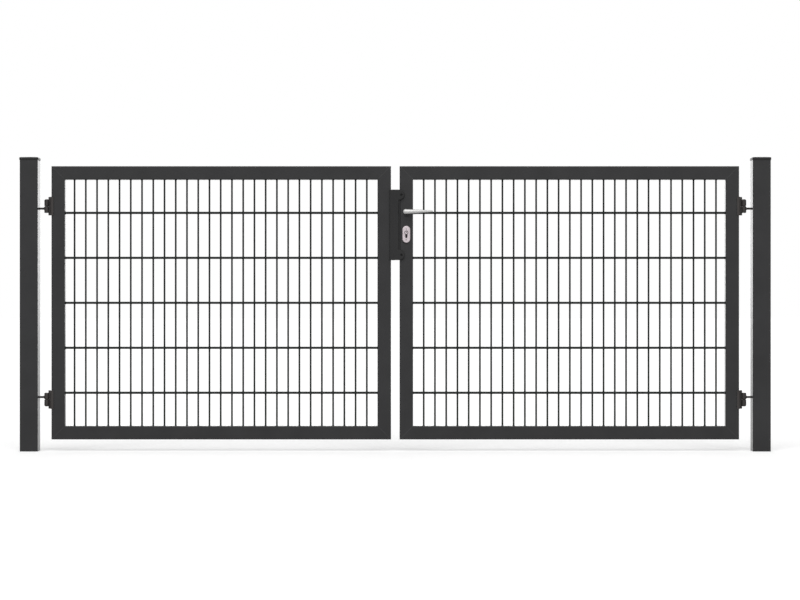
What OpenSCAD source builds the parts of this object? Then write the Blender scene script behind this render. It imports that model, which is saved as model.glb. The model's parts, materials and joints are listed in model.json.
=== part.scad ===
// Double-leaf driveway gate: welded mesh in mitred tube frames, hung on two posts.
// The origin is the middle of the left post's foot. +X runs along the gate, +Y to its back.

/* [Posts] */
// Outer width of the square post tube
post_w = 80; // [60:1:120]
// Wall of the post tube
post_wall = 3; // [2:0.5:5]
// Outer corner radius of the post tube
post_corner_r = 4.5; // [4:0.5:12]
// How far the post tube stands above the leaves
post_over = 35; // [10:1:200]

/* [Post caps] */
// Wall of the cap's skirt
cap_wall = 2; // [1.5:0.1:4]
// Play between the skirt and the post
cap_fit = 0.2; // [0.1:0.05:0.5]
// Depth of the skirt over the post
cap_skirt = 8; // [4:0.5:20]
// Thickness of the cap's top at its corners
cap_top = 2.5; // [1.5:0.5:6]
// Rise of the domed top over its corners
cap_dome = 4; // [1:0.5:8]

/* [Leaf frames] */
// Width of one leaf
leaf_w = 1508; // [1000:1:2000]
// Height of one leaf
leaf_h = 1214; // [900:1:1800]
// Face width of the frame tube
tube_face = 60; // [50:1:80]
// Depth of the frame tube, front to back
tube_depth = 40; // [36:1:50]
// Wall of the frame tube
tube_wall = 2; // [1.5:0.5:4]
// Outer corner radius of the frame tube
tube_corner_r = 4.5; // [4.2:0.1:8]
// Clearance under the leaves
ground_gap = 52; // [30:1:60]
// Gap between a post and its leaf
hinge_gap = 58; // [56:1:80]
// Gap between the two leaves
meeting_gap = 38; // [36:1:50]

/* [Mesh] */
// Spacing of the upright rods
upright_pitch = 50; // [40:1:80]
// Spacing of the rows of level rods
row_pitch = 200; // [120:5:300]
// Diameter of the upright rods
upright_d = 8; // [5:0.5:9]
// Diameter of the level rods, one in front of the uprights and one behind
level_d = 10; // [6:0.5:12]
// How far the level rods are pressed into the uprights at each weld
weld_sink = 0.8; // [0.3:0.1:1.5]
// How far the uprights stand off the leaf's middle, towards the hinges
mesh_shift = 3.5; // [0:0.5:6]

/* [Hinges] */
// Height of a hinge's middle from the leaf's nearer edge
hinge_inset = 177; // [120:1:260]
// Distance of the pivot axis from the leaf's edge
pin_offset = 23.5; // [22:0.5:25]
// Radius of the hinge pin
pin_r = 6; // [5:0.25:7]
// Running play of the pin, all round
pin_fit = 0.05; // [0.02:0.01:0.1]
// Outer radius of the barrels
barrel_r = 10.5; // [9:0.25:11]
// Rounding of the barrels' ends
barrel_round = 3.5; // [1:0.5:3.5]
// Height of the barrel on the leaf
leaf_barrel_h = 28; // [22:1:34]
// Height of the eye on the bolt
eye_h = 30; // [22:1:34]
// Gap between barrel and eye
barrel_gap = 0.5; // [0.3:0.1:1]
// Radius of the pin's head
pin_head_r = 8; // [7.5:0.25:9]
// Height of the pin's head
pin_head_h = 2.5; // [1.5:0.5:4]
// Rounding of the pin's head
pin_head_round = 1.5; // [0.5:0.25:1.5]
// Height of the shoe on the leaf
shoe_h = 82; // [74:1:100]
// How far the shoe stands out from the leaf's edge
shoe_out = 16.5; // [15:0.5:18]
// How far the shoe laps over the stile's faces
shoe_lap = 9.5; // [6:0.5:16]
// Thickness of the shoe's bent plate
shoe_plate = 4; // [2:0.5:5]
// Thickness of the shoe's strap, which ties the plate to the back of the barrel
shoe_strap = 6; // [5:0.5:9]
// Play between the shoe's laps and the stile
shoe_fit = 0.1; // [0.05:0.05:0.3]
// Outer radius of the plate's bends round the stile
shoe_bend = 6; // [4.5:0.5:8]
// Rounding of the shoe's upper and lower corners
shoe_corner = 2.5; // [1:0.5:6]
// Room round the eye and the pin's head in the shoe
eye_room = 1; // [0.75:0.25:2]
// Radius of the bolt's shank
shank_r = 5; // [4:0.25:5.5]
// Distance of the shank from the hinge's middle
shank_drop = 11; // [9:0.5:14]
// Length of the shank inside the post
shank_tail = 24; // [12:1:40]
// Play of the shank in the post's wall
shank_fit = 0.2; // [0.1:0.05:0.4]

/* [Keep] */
// Height of the keep
keep_h = 313; // [280:1:340]
// Distance from the lever's spindle down to the keep's middle
keep_drop = 58; // [50:1:66]
// Thickness of the keep's face plate
keep_t = 7.5; // [5:0.5:9]
// Width of the face plate between the rounded lobes
keep_w = 34.5; // [28:0.5:35]
// How far the keep laps over the front of its own stile
keep_lap = 6; // [5:0.5:12]
// How far the thin edge of the face plate laps over the other leaf
keep_edge_lap = 2; // [1:0.5:6]
// Thickness of that thin edge
keep_edge_t = 1.5; // [1.5:0.5:4]
// Clearance between the face plate and the other leaf
stop_gap = 5; // [5:0.5:8]
// Radius of the rounded lobes
lobe_r = 23; // [18:0.5:26]
// How far the lobes reach over the other leaf
lobe_reach = 22; // [16:0.5:26]
// Radius of the hole in each lobe
lobe_hole_r = 5; // [3:0.25:6]
// Distance of that hole from the other leaf's edge
lobe_hole_in = 8.5; // [6:0.5:12]
// Thickness of the keep's web on the stile
keep_web = 6; // [4:0.5:8]
// Depth of the keep's rear lip
keep_lip = 16; // [10:0.5:17]
// Thickness of the rear lip
keep_lip_t = 5; // [3:0.5:6]

/* [Lock] */
// Distance from the leaf's top edge down to the lever's spindle
spindle_drop = 203; // [150:1:400]
// Distance from the spindle down to the cylinder's plug
lock_centres = 92; // [88:1:96]
// Radius of the cylinder's round part
plug_r = 8.5; // [8:0.25:9]
// Width of the cylinder's straight part
cylinder_web = 10; // [9:0.5:11]
// Overall height of the cylinder's profile
cylinder_h = 33; // [30:0.5:35]
// How far the cylinder stands out of the rosettes
cylinder_proud = 2; // [0.5:0.5:4]
// Play round the cylinder
cylinder_fit = 0.3; // [0.1:0.05:0.5]
// Width of the keyway
keyway_w = 2; // [1.5:0.25:3]
// Depth of the keyway
keyway_depth = 12; // [6:1:20]
// Width of the rosettes
rosette_w = 36; // [32:0.5:40]
// Height of the rosettes
rosette_h = 76; // [70:1:84]
// Thickness of the rosettes
rosette_t = 8; // [6:0.5:12]
// Rounding of the rosettes' front edge
rosette_round = 3; // [1:0.25:5]
// Height of the forend plate
forend_h = 245; // [220:1:260]
// Width of the forend plate
forend_w = 24; // [20:1:28]
// Thickness of the forend plate
forend_t = 3; // [2:0.5:4]
// How far the latch stands out of the leaf's edge
latch_throw = 14; // [10:0.5:15]
// Thickness of the latch
latch_t = 12; // [10:0.5:14]
// Height of the latch
latch_h = 34; // [26:1:40]
// Distance from the spindle down to the latch's middle
latch_drop = 40; // [30:1:50]
// Length of the latch inside the stile
latch_tail = 20; // [12:1:30]
// Play round the latch
latch_fit = 0.3; // [0.2:0.05:0.5]

/* [Lever] */
// Radius of the lever's neck
neck_r = 9.5; // [8:0.25:10]
// Play of the neck in the stile
neck_fit = 0.3; // [0.2:0.05:0.5]
// How far the neck enters the stile
neck_seat = 6; // [3:0.5:10]
// Distance from the stile's face to the middle of the grip
lever_reach = 42; // [36:1:55]
// Half height of the grip at the spindle
grip_root_r = 11; // [10:0.25:13]
// Half height of the grip at its tip
grip_tip_r = 4; // [3:0.25:6]
// Thickness of the grip at the spindle
grip_t = 13; // [9:0.5:16]
// Thickness of the grip at its tip
grip_tip_t = 8; // [6:0.5:9]
// Distance from the spindle to the grip's round heel
grip_heel = 15; // [11:0.5:18]
// Distance from the spindle to the grip's tip
grip_len = 117; // [95:1:140]
// Rise of the grip's tip above the spindle
grip_rise = 1.5; // [0:0.5:5]
// Width of the square spindle
spindle_w = 8; // [7:0.5:9]
// Play round the spindle
spindle_fit = 0.15; // [0.1:0.05:0.3]
// Length of the spindle inside each neck
spindle_bite = 22; // [14:1:28]

/* [Hidden] */
$fn = 64;

// Sides of a mesh rod, fineness of the caps' wide dome, and how far past a face a cut runs
rod_sides = 8;
dome_sides = 360;
cut = 1;

coat = "#3b3c3e";
mesh_coat = "#424645";
cap_black = "#2b2b2c";
hinge_black = "#343436";
aluminium = "#c9c9c8";
stainless = "#c2b9bb";

half_post = post_w / 2;
half_depth = tube_depth / 2;
post_h = ground_gap + leaf_h + post_over;
right_post_x = post_w + 2 * hinge_gap + 2 * leaf_w + meeting_gap;
inner_w = leaf_w - 2 * tube_face;
inner_h = leaf_h - 2 * tube_face;
upright_count = floor(inner_w / upright_pitch);
row_count = floor(inner_h / row_pitch);
level_offset = (upright_d + level_d) / 2 - weld_sink;
post_side = hinge_gap - pin_offset;
bore_r = pin_r + pin_fit;
spindle_x = leaf_w - tube_face / 2;
spindle_h = leaf_h - spindle_drop;
keep_mid = spindle_h - keep_drop;
plug_z = spindle_h - lock_centres;
latch_z = spindle_h - latch_drop;
profile_mid = plug_r - cylinder_h / 2;
keep_back = -half_depth - stop_gap;
cap_w = post_w + 2 * (cap_fit + cap_wall);

// A rectangle with round corners, centred.
module round_rect(w, h, r) {
    square([w - 2 * r, h], center = true);
    square([w, h - 2 * r], center = true);
    for (x = [-1, 1], y = [-1, 1])
        translate([x * (w / 2 - r), y * (h / 2 - r)]) circle(r);
}

// The wall of a rectangular tube with round corners, centred.
module tube_section(w, h, r, wall) {
    difference() {
        round_rect(w, h, r);
        round_rect(w - 2 * wall, h - 2 * wall, r - wall);
    }
}

// Half of a button's section, from its middle out to r, with its upper edge rounded.
module rounded_section(r, h, edge) {
    square([r - edge, h]);
    square([r, h - edge]);
    intersection() {
        translate([r - edge, h - edge]) circle(edge);
        square([r, h]);
    }
}

// A flat outline in X and Z, made t thick towards the back from y.
module upright_plate(y, t) {
    translate([0, y + t, 0]) rotate([90, 0, 0]) linear_extrude(t) children();
}

// A frame tube along +X with its outer edge down and both ends mitred.
module mitred_tube(len) {
    intersection() {
        translate([0, 0, tube_face / 2])
            rotate([90, 0, 90]) linear_extrude(len)
                tube_section(tube_depth, tube_face, tube_corner_r, tube_wall);
        upright_plate(-half_depth - cut, tube_depth + 2 * cut)
            polygon([[0, 0], [len, 0], [len - tube_face, tube_face], [tube_face, tube_face]]);
    }
}

// Leaves are drawn from their hinge edge and lower edge, and the right one is mirrored.
module on_left_leaf() {
    translate([half_post + hinge_gap, 0, ground_gap]) children();
}

module on_right_leaf() {
    translate([right_post_x - half_post - hinge_gap, 0, ground_gap]) mirror([1, 0, 0]) children();
}

module frame_bottom_rail() { mitred_tube(leaf_w); }

module frame_top_rail() { translate([0, 0, leaf_h]) mirror([0, 0, 1]) mitred_tube(leaf_w); }

module frame_hinge_stile() { mirror([1, 0, 0]) rotate([0, -90, 0]) mitred_tube(leaf_h); }

module frame_meeting_stile() { translate([leaf_w, 0, 0]) rotate([0, -90, 0]) mitred_tube(leaf_h); }

// A mesh rod along +Z with its flats square to the mesh.
module rod(d, len) {
    rotate([0, 0, 180 / rod_sides])
        cylinder(r = d / 2 / cos(180 / rod_sides), h = len, $fn = rod_sides);
}

// Upright rods between pairs of level rods, one pair a row.
module mesh_panel() {
    first_x = tube_face + (inner_w - (upright_count - 1) * upright_pitch) / 2 - mesh_shift;
    first_z = tube_face + (inner_h - (row_count - 1) * row_pitch) / 2;
    for (i = [0 : upright_count - 1])
        translate([first_x + i * upright_pitch, 0, tube_face]) rod(upright_d, inner_h);
    for (j = [0 : row_count - 1], side = [-1, 1])
        translate([tube_face, side * level_offset, first_z + j * row_pitch])
            rotate([0, 90, 0]) rod(level_d, inner_w);
}

// Hinges are drawn round the pivot with the leaf towards +X and the leaf's barrel on top.
module at_upper_hinge() {
    translate([-pin_offset, 0, leaf_h - hinge_inset]) children();
}

module at_lower_hinge() {
    translate([-pin_offset, 0, hinge_inset]) mirror([0, 0, 1]) children();
}

// A bored barrel on +Z with rounded ends.
module barrel(h) {
    rotate_extrude() difference() {
        union() {
            square([barrel_r - barrel_round, h]);
            translate([0, barrel_round]) square([barrel_r, h - 2 * barrel_round]);
            for (z = [barrel_round, h - barrel_round])
                translate([barrel_r - barrel_round, z]) circle(barrel_round);
        }
        translate([-barrel_r, -cut]) square([barrel_r + bore_r, h + 2 * cut]);
    }
}

// The eye and its shank, which runs through the post's inner wall.
module eye_bolt() {
    shank_start = (bore_r + barrel_r) / 2;
    color(hinge_black) {
        translate([0, 0, -barrel_gap / 2 - eye_h]) barrel(eye_h);
        translate([-shank_start, 0, -shank_drop]) rotate([0, -90, 0])
            cylinder(r = shank_r, h = post_side + post_wall + shank_tail - shank_start);
    }
}

// The shoe in plan: a plate bent round the stile's edge, and the strap that carries the barrel.
module shoe_plan() {
    half_out = half_depth + shoe_fit + shoe_plate;
    difference() {
        union() {
            translate([pin_offset - shoe_plate + shoe_bend, -half_out])
                square([shoe_plate + shoe_lap - shoe_bend, 2 * half_out]);
            translate([pin_offset - shoe_plate, shoe_bend - half_out])
                square([2 * shoe_bend, 2 * (half_out - shoe_bend)]);
            for (side = [-1, 1])
                translate([pin_offset - shoe_plate + shoe_bend, side * (half_out - shoe_bend)])
                    circle(shoe_bend);
        }
        translate([pin_offset, -half_depth - shoe_fit])
            square([shoe_lap + cut, 2 * (half_depth + shoe_fit)]);
    }
    translate([pin_offset - shoe_out, barrel_r - shoe_strap]) square([shoe_out, shoe_strap]);
}

// The shoe from the front, with its outer corners rounded.
module shoe_outline() {
    translate([pin_offset - shoe_out + (shoe_out + shoe_lap) / 2, 0])
        round_rect(shoe_out + shoe_lap, shoe_h, shoe_corner);
}

// The shoe on the leaf's edge with its barrel, notched round the eye.
module hinge_shoe() {
    half_out = half_depth + shoe_fit + shoe_plate;
    color(hinge_black) difference() {
        union() {
            intersection() {
                translate([0, 0, -shoe_h / 2]) linear_extrude(shoe_h) shoe_plan();
                upright_plate(-half_out - cut, 2 * (half_out + cut)) shoe_outline();
            }
            translate([0, 0, barrel_gap / 2]) barrel(leaf_barrel_h);
        }
        cylinder(r = bore_r, h = leaf_barrel_h + barrel_gap);
        translate([0, 0, leaf_barrel_h + barrel_gap / 2])
            cylinder(r = pin_head_r + eye_room, h = shoe_h);
        translate([0, 0, -eye_h - 1.5 * barrel_gap])
            cylinder(r = barrel_r + eye_room, h = eye_h + 2 * barrel_gap);
    }
}

// The headed pin, held in the leaf's barrel and turning in the eye.
module hinge_pin() {
    head_z = leaf_barrel_h + barrel_gap / 2;
    color(hinge_black) {
        translate([0, 0, -eye_h - barrel_gap / 2]) cylinder(r = pin_r, h = eye_h + barrel_gap / 2 + head_z);
        translate([0, 0, head_z]) rotate_extrude()
            rounded_section(pin_head_r, pin_head_h, pin_head_round);
    }
}

// The post tube, drilled on its +X side for the bolts of a left-hand leaf.
module gate_post() {
    color(coat) difference() {
        linear_extrude(post_h) tube_section(post_w, post_w, post_corner_r, post_wall);
        for (z = [leaf_h - hinge_inset - shank_drop, hinge_inset + shank_drop])
            translate([half_post - post_wall - cut, 0, ground_gap + z]) rotate([0, 90, 0])
                cylinder(r = shank_r + shank_fit, h = post_wall + 2 * cut);
    }
}

// A cap whose skirt fits over the post, with a shallow dome.
module post_cap() {
    corner = cap_w / sqrt(2);
    dome_r = (corner * corner + cap_dome * cap_dome) / (2 * cap_dome);
    color(cap_black) difference() {
        intersection() {
            translate([0, 0, post_h - cap_skirt]) linear_extrude(cap_skirt + cap_top + cap_dome)
                round_rect(cap_w, cap_w, post_corner_r + cap_fit + cap_wall);
            translate([0, 0, post_h + cap_top + cap_dome - dome_r]) sphere(dome_r, $fn = dome_sides);
        }
        translate([0, 0, post_h - cap_skirt - cut]) linear_extrude(cap_skirt + cut)
            round_rect(post_w + 2 * cap_fit, post_w + 2 * cap_fit, post_corner_r + cap_fit);
    }
}

// The keep's face plate, with a thinner edge over the gap and two lobes over the other leaf.
module keep_face_plate() {
    lobe_x = meeting_gap + lobe_reach - lobe_r;
    lobe_z = keep_h / 2 - lobe_r;
    color(coat) on_left_leaf() translate([leaf_w, 0, keep_mid]) difference() {
        union() {
            upright_plate(keep_back - keep_t, keep_t) {
                translate([-keep_lap, -keep_h / 2]) square([keep_lap + keep_w, keep_h]);
                for (side = [-1, 1]) translate([0, side * lobe_z]) {
                    translate([0, -lobe_r]) square([lobe_x, 2 * lobe_r]);
                    translate([lobe_x, 0]) circle(lobe_r);
                }
            }
            upright_plate(keep_back - keep_edge_t, keep_edge_t)
                translate([0, -lobe_z]) square([meeting_gap + keep_edge_lap, 2 * lobe_z]);
        }
        for (side = [-1, 1])
            upright_plate(keep_back - keep_t - cut, keep_t + 2 * cut)
                translate([meeting_gap + lobe_hole_in, side * lobe_z]) circle(lobe_hole_r);
    }
}

// The web of the keep on the stile's edge, with a flange under the face plate and a short rear lip.
module keep_channel() {
    color(coat) on_left_leaf() translate([leaf_w, 0, keep_mid - keep_h / 2]) linear_extrude(keep_h) {
        translate([-keep_lap, keep_back]) square([keep_lap + keep_web, stop_gap]);
        translate([0, keep_back]) square([keep_web, half_depth - keep_back]);
        translate([0, half_depth - keep_lip_t]) square([keep_lip, keep_lip_t]);
    }
}

// The outline of the cylinder, round the plug's middle.
module cylinder_outline(play) {
    foot_r = cylinder_web / 2;
    foot_z = plug_r - cylinder_h + foot_r;
    circle(plug_r + play);
    translate([0, foot_z]) circle(foot_r + play);
    translate([-foot_r - play, foot_z]) square([2 * (foot_r + play), -foot_z]);
}

// The lock stile, cut through for the lever's necks, the cylinder and the latch.
module right_lock_stile() {
    color(coat) on_right_leaf() difference() {
        frame_meeting_stile();
        upright_plate(-half_depth - cut, tube_depth + 2 * cut) {
            translate([spindle_x, spindle_h]) circle(neck_r + neck_fit);
            translate([spindle_x, plug_z]) cylinder_outline(cylinder_fit);
        }
        translate([leaf_w - tube_wall - cut, -latch_t / 2 - latch_fit, latch_z - latch_h / 2 - latch_fit])
            cube([tube_wall + 2 * cut, latch_t + 2 * latch_fit, latch_h + 2 * latch_fit]);
    }
}

// The forend plate on the lock stile's edge, with the latch's window.
module lock_forend() {
    color(stainless) on_right_leaf() difference() {
        translate([leaf_w, -forend_w / 2, keep_mid - forend_h / 2]) cube([forend_t, forend_w, forend_h]);
        translate([leaf_w - cut, -latch_t / 2 - latch_fit, latch_z - latch_h / 2 - latch_fit])
            cube([forend_t + 2 * cut, latch_t + 2 * latch_fit, latch_h + 2 * latch_fit]);
    }
}

// The latch, bevelled on the side that meets the keep as the leaf closes.
module latch_bolt() {
    nose = leaf_w + latch_throw;
    half_t = latch_t / 2;
    color(stainless) on_right_leaf() translate([0, 0, latch_z - latch_h / 2]) linear_extrude(latch_h)
        polygon([
            [leaf_w - latch_tail, -half_t], [leaf_w + forend_t, -half_t], [nose, half_t / 2],
            [nose, half_t], [leaf_w - latch_tail, half_t]
        ]);
}

// The profile cylinder through the stile, with a keyway at each end.
module lock_cylinder() {
    reach = half_depth + rosette_t + cylinder_proud;
    color(stainless) on_right_leaf() translate([spindle_x, 0, plug_z]) difference() {
        upright_plate(-reach, 2 * reach) cylinder_outline(0);
        for (side = [-1, 1])
            translate([-keyway_w / 2, side * reach - keyway_depth, -plug_r / 2])
                cube([keyway_w, 2 * keyway_depth, plug_r]);
    }
}

module rosette_section() { rounded_section(rosette_w / 2, rosette_t, rosette_round); }

// A long rosette with round ends against the stile's front face, cut out for the cylinder.
module rosette() {
    straight = rosette_h - rosette_w;
    translate([spindle_x, -half_depth, plug_z]) difference() {
        translate([0, 0, profile_mid]) {
            for (side = [-1, 1])
                translate([0, 0, side * straight / 2]) rotate([90, 0, 0]) rotate_extrude() rosette_section();
            for (side = [0, 1])
                mirror([side, 0, 0]) translate([0, 0, -straight / 2])
                    linear_extrude(straight) mirror([0, 1]) rosette_section();
        }
        upright_plate(-rosette_t - cut, rosette_t + 2 * cut) cylinder_outline(cylinder_fit);
    }
}

module front_rosette() { color(stainless) on_right_leaf() rosette(); }

module rear_rosette() { color(stainless) on_right_leaf() mirror([0, 1, 0]) rosette(); }

// A round end of the grip, thinner from front to back than it is tall.
module grip_end(r, t) { scale([1, t / (2 * r), 1]) sphere(r, $fn = 32); }

// A lever in front of the stile: a round neck and a grip that tapers towards the hinges.
module lever() {
    grip_y = -half_depth - lever_reach;
    socket_w = spindle_w + 2 * spindle_fit;
    translate([spindle_x, 0, spindle_h]) difference() {
        union() {
            translate([0, grip_y, 0]) rotate([-90, 0, 0])
                cylinder(r = neck_r, h = lever_reach + neck_seat);
            translate([0, grip_y, 0]) hull() {
                translate([grip_heel - grip_root_r, 0, 0]) grip_end(grip_root_r, grip_t);
                translate([grip_tip_r - grip_len, 0, grip_rise]) grip_end(grip_tip_r, grip_tip_t);
            }
        }
        translate([0, neck_seat - half_depth - spindle_bite / 2 + cut / 2, 0])
            cube([socket_w, spindle_bite + cut, socket_w], center = true);
    }
}

module front_lever() { color(aluminium) on_right_leaf() lever(); }

module rear_lever() { color(aluminium) on_right_leaf() mirror([0, 1, 0]) lever(); }

// The square bar that joins the two levers through the lock.
module lever_spindle() {
    color(stainless) on_right_leaf() translate([spindle_x, 0, spindle_h])
        cube([spindle_w, tube_depth + 2 * (spindle_bite - neck_seat), spindle_w], center = true);
}

module left_post() { gate_post(); }

module right_post() { translate([right_post_x, 0, 0]) mirror([1, 0, 0]) gate_post(); }

module left_post_cap() { post_cap(); }

module right_post_cap() { translate([right_post_x, 0, 0]) post_cap(); }

module left_top_rail() { color(coat) on_left_leaf() frame_top_rail(); }

module left_bottom_rail() { color(coat) on_left_leaf() frame_bottom_rail(); }

module left_hinge_stile() { color(coat) on_left_leaf() frame_hinge_stile(); }

module left_meeting_stile() { color(coat) on_left_leaf() frame_meeting_stile(); }

module left_mesh() { color(mesh_coat) on_left_leaf() mesh_panel(); }

module right_top_rail() { color(coat) on_right_leaf() frame_top_rail(); }

module right_bottom_rail() { color(coat) on_right_leaf() frame_bottom_rail(); }

module right_hinge_stile() { color(coat) on_right_leaf() frame_hinge_stile(); }

module right_mesh() { color(mesh_coat) on_right_leaf() mesh_panel(); }

left_post();
right_post();
left_post_cap();
right_post_cap();
on_left_leaf() at_upper_hinge() eye_bolt();  // left_upper_eye_bolt
on_left_leaf() at_lower_hinge() eye_bolt();  // left_lower_eye_bolt
on_right_leaf() at_upper_hinge() eye_bolt();  // right_upper_eye_bolt
on_right_leaf() at_lower_hinge() eye_bolt();  // right_lower_eye_bolt
left_top_rail();
left_bottom_rail();
left_hinge_stile();
left_meeting_stile();
left_mesh();
on_left_leaf() at_upper_hinge() hinge_shoe();  // left_upper_hinge_shoe
on_left_leaf() at_lower_hinge() hinge_shoe();  // left_lower_hinge_shoe
on_left_leaf() at_upper_hinge() hinge_pin();  // left_upper_hinge_pin
on_left_leaf() at_lower_hinge() hinge_pin();  // left_lower_hinge_pin
keep_face_plate();
keep_channel();
right_top_rail();
right_bottom_rail();
right_hinge_stile();
right_lock_stile();
right_mesh();
on_right_leaf() at_upper_hinge() hinge_shoe();  // right_upper_hinge_shoe
on_right_leaf() at_lower_hinge() hinge_shoe();  // right_lower_hinge_shoe
on_right_leaf() at_upper_hinge() hinge_pin();  // right_upper_hinge_pin
on_right_leaf() at_lower_hinge() hinge_pin();  // right_lower_hinge_pin
lock_forend();
latch_bolt();
lock_cylinder();
front_rosette();
rear_rosette();
front_lever();
rear_lever();
lever_spindle();
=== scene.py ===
"""Dresses the CAD model of a double-leaf mesh gate with coats, welds, threads and a lock set.

Laid out as a Blender add-on: one operator for each group of pieces, and one for the stage.
"""

import json
import math
from contextlib import contextmanager

import bmesh
import bpy
from bpy.props import FloatProperty, FloatVectorProperty, IntProperty, PointerProperty
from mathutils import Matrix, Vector


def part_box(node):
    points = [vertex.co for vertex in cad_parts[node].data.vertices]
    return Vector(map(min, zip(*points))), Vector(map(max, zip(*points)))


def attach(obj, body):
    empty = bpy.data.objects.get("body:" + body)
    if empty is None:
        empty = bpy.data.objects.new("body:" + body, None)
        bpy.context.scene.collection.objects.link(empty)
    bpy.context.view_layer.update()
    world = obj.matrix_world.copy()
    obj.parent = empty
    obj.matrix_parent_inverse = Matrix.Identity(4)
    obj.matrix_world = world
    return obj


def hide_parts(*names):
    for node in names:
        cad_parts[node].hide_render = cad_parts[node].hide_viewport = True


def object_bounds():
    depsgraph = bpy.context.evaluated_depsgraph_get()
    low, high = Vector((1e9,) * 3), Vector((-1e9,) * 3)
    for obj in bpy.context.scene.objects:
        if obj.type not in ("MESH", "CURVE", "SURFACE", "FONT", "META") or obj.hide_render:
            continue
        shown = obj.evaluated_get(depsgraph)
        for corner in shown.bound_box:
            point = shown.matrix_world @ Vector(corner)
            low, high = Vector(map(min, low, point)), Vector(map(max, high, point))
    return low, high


bl_info = {
    "name": "Mesh Driveway Gate",
    "version": (1, 0, 0),
    "blender": (4, 5, 0),
    "location": "View3D > Sidebar > Gate",
    "description": "Coats, welds, threads and lock set of a double-leaf mesh gate",
    "category": "Object",
}

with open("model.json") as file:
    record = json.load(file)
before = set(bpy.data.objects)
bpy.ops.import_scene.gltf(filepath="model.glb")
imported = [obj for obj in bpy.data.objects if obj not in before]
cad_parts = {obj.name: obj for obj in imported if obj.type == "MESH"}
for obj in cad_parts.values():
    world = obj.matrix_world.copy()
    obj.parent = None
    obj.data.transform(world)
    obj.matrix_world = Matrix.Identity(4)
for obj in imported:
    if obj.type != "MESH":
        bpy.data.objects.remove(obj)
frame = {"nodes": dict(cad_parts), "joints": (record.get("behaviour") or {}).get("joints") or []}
cad_low, cad_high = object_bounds()

MM = 0.001
QUARTER, HALF_TURN = math.pi / 2, math.pi
MIDDLE_X = (cad_low.x + cad_high.x) / 2
SIDES = ("left", "right")
LEVELS = ("upper", "lower")


class GateSizes(bpy.types.PropertyGroup):
    """Sizes of what is added to the CAD model."""

    edge_round: FloatProperty(
        name="Edge round", description="Rounding of the edges of plates and shoes",
        default=0.7 * MM, min=0.1 * MM, max=2 * MM, precision=4, unit="LENGTH",
    )
    plate_round: FloatProperty(
        name="Plate round", description="Rounding of the front edge of the keep's plate",
        default=3 * MM, min=0.2 * MM, max=5 * MM, precision=4, unit="LENGTH",
    )
    cap_round: FloatProperty(
        name="Cap round", description="Rounding of the post caps' shoulder",
        default=4 * MM, min=0.5 * MM, max=6 * MM, precision=4, unit="LENGTH",
    )
    thread_pitch: FloatProperty(
        name="Thread pitch", description="Pitch of the thread on the eye bolts",
        default=1.5 * MM, min=0.5 * MM, max=3 * MM, precision=4, unit="LENGTH",
    )
    weld_proud: FloatProperty(
        name="Weld proud", description="How far the ground mitre welds stand out of the frame's faces",
        default=0.3 * MM, min=0, max=1 * MM, precision=4, unit="LENGTH",
    )
    weld_width: FloatProperty(
        name="Weld width", description="Width of the ground mitre welds",
        default=4 * MM, min=1 * MM, max=10 * MM, precision=4, unit="LENGTH",
    )
    rod_sides: IntProperty(
        name="Rod sides", description="Number of sides of a mesh rod", default=16, min=8, max=32,
    )


class GateFinishes(bpy.types.PropertyGroup):
    """Colours and roughness of the gate's finishes."""

    coat: FloatVectorProperty(
        name="Frame coat", description="Powder coat of posts and frames",
        default=(0.031, 0.031, 0.032), min=0, max=1, subtype="COLOR",
    )
    # The keep coat is darker than the frame coat. Partly this is the keep's own tone, and partly it is
    # painted shade that deepens the dark gap line beside the lock stile.
    keep: FloatVectorProperty(
        name="Keep coat", description="Powder coat of the keep",
        default=(0.021, 0.021, 0.0215), min=0, max=1, subtype="COLOR",
    )
    # The seam coat is lighter than the frame coat: a painted highlight along the ground mitre welds.
    seam: FloatVectorProperty(
        name="Seam coat", description="Thin coat over the ground mitre welds",
        default=(0.042, 0.042, 0.043), min=0, max=1, subtype="COLOR",
    )
    mesh: FloatVectorProperty(
        name="Mesh coat", description="Powder coat of the mesh rods",
        default=(0.012, 0.015, 0.014), min=0, max=1, subtype="COLOR",
    )
    hinge: FloatVectorProperty(
        name="Hinge coat", description="Dark coat of the hinges and eye bolts",
        default=(0.048, 0.0435, 0.042), min=0, max=1, subtype="COLOR",
    )
    plastic: FloatVectorProperty(
        name="Cap plastic", description="Moulded plastic of the post caps",
        default=(0.019, 0.019, 0.019), min=0, max=1, subtype="COLOR",
    )
    rubber: FloatVectorProperty(
        name="Buffer rubber", description="Rubber of the keep's buffers",
        default=(0.008, 0.008, 0.008), min=0, max=1, subtype="COLOR",
    )
    aluminium: FloatVectorProperty(
        name="Lever aluminium", description="Satin aluminium of the levers",
        default=(0.355, 0.355, 0.35), min=0, max=1, subtype="COLOR",
    )
    steel: FloatVectorProperty(
        name="Lock steel", description="Satin stainless steel of the rosettes and forend",
        default=(0.358, 0.319, 0.333), min=0, max=1, subtype="COLOR",
    )
    # The cylinder's body is coloured dark and its plugs light.
    cylinder_body_dark: FloatVectorProperty(
        name="Cylinder metal", description="Dark metal of the lock cylinder's body",
        default=(0.022, 0.019, 0.020), min=0, max=1, subtype="COLOR",
    )
    coat_roughness: FloatProperty(
        name="Coat roughness", description="Roughness of the powder coat", default=0.36, min=0, max=1,
        subtype="FACTOR",
    )


# Selection and modelling


def choose(*pieces):
    """Selects only these pieces and makes the first one active."""
    bpy.ops.object.select_all(action="DESELECT")
    for piece in pieces:
        piece.select_set(True)
    bpy.context.view_layer.objects.active = pieces[0]


def settle(piece):
    """Puts a piece's place, turn and scale into its mesh."""
    choose(piece)
    bpy.ops.object.transform_apply(location=True, rotation=True, scale=True)
    return piece


def placed(piece, place, turn=(0, 0, 0)):
    """Turns a piece about the origin and moves it there."""
    piece.location, piece.rotation_euler = place, turn
    return settle(piece)


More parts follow.
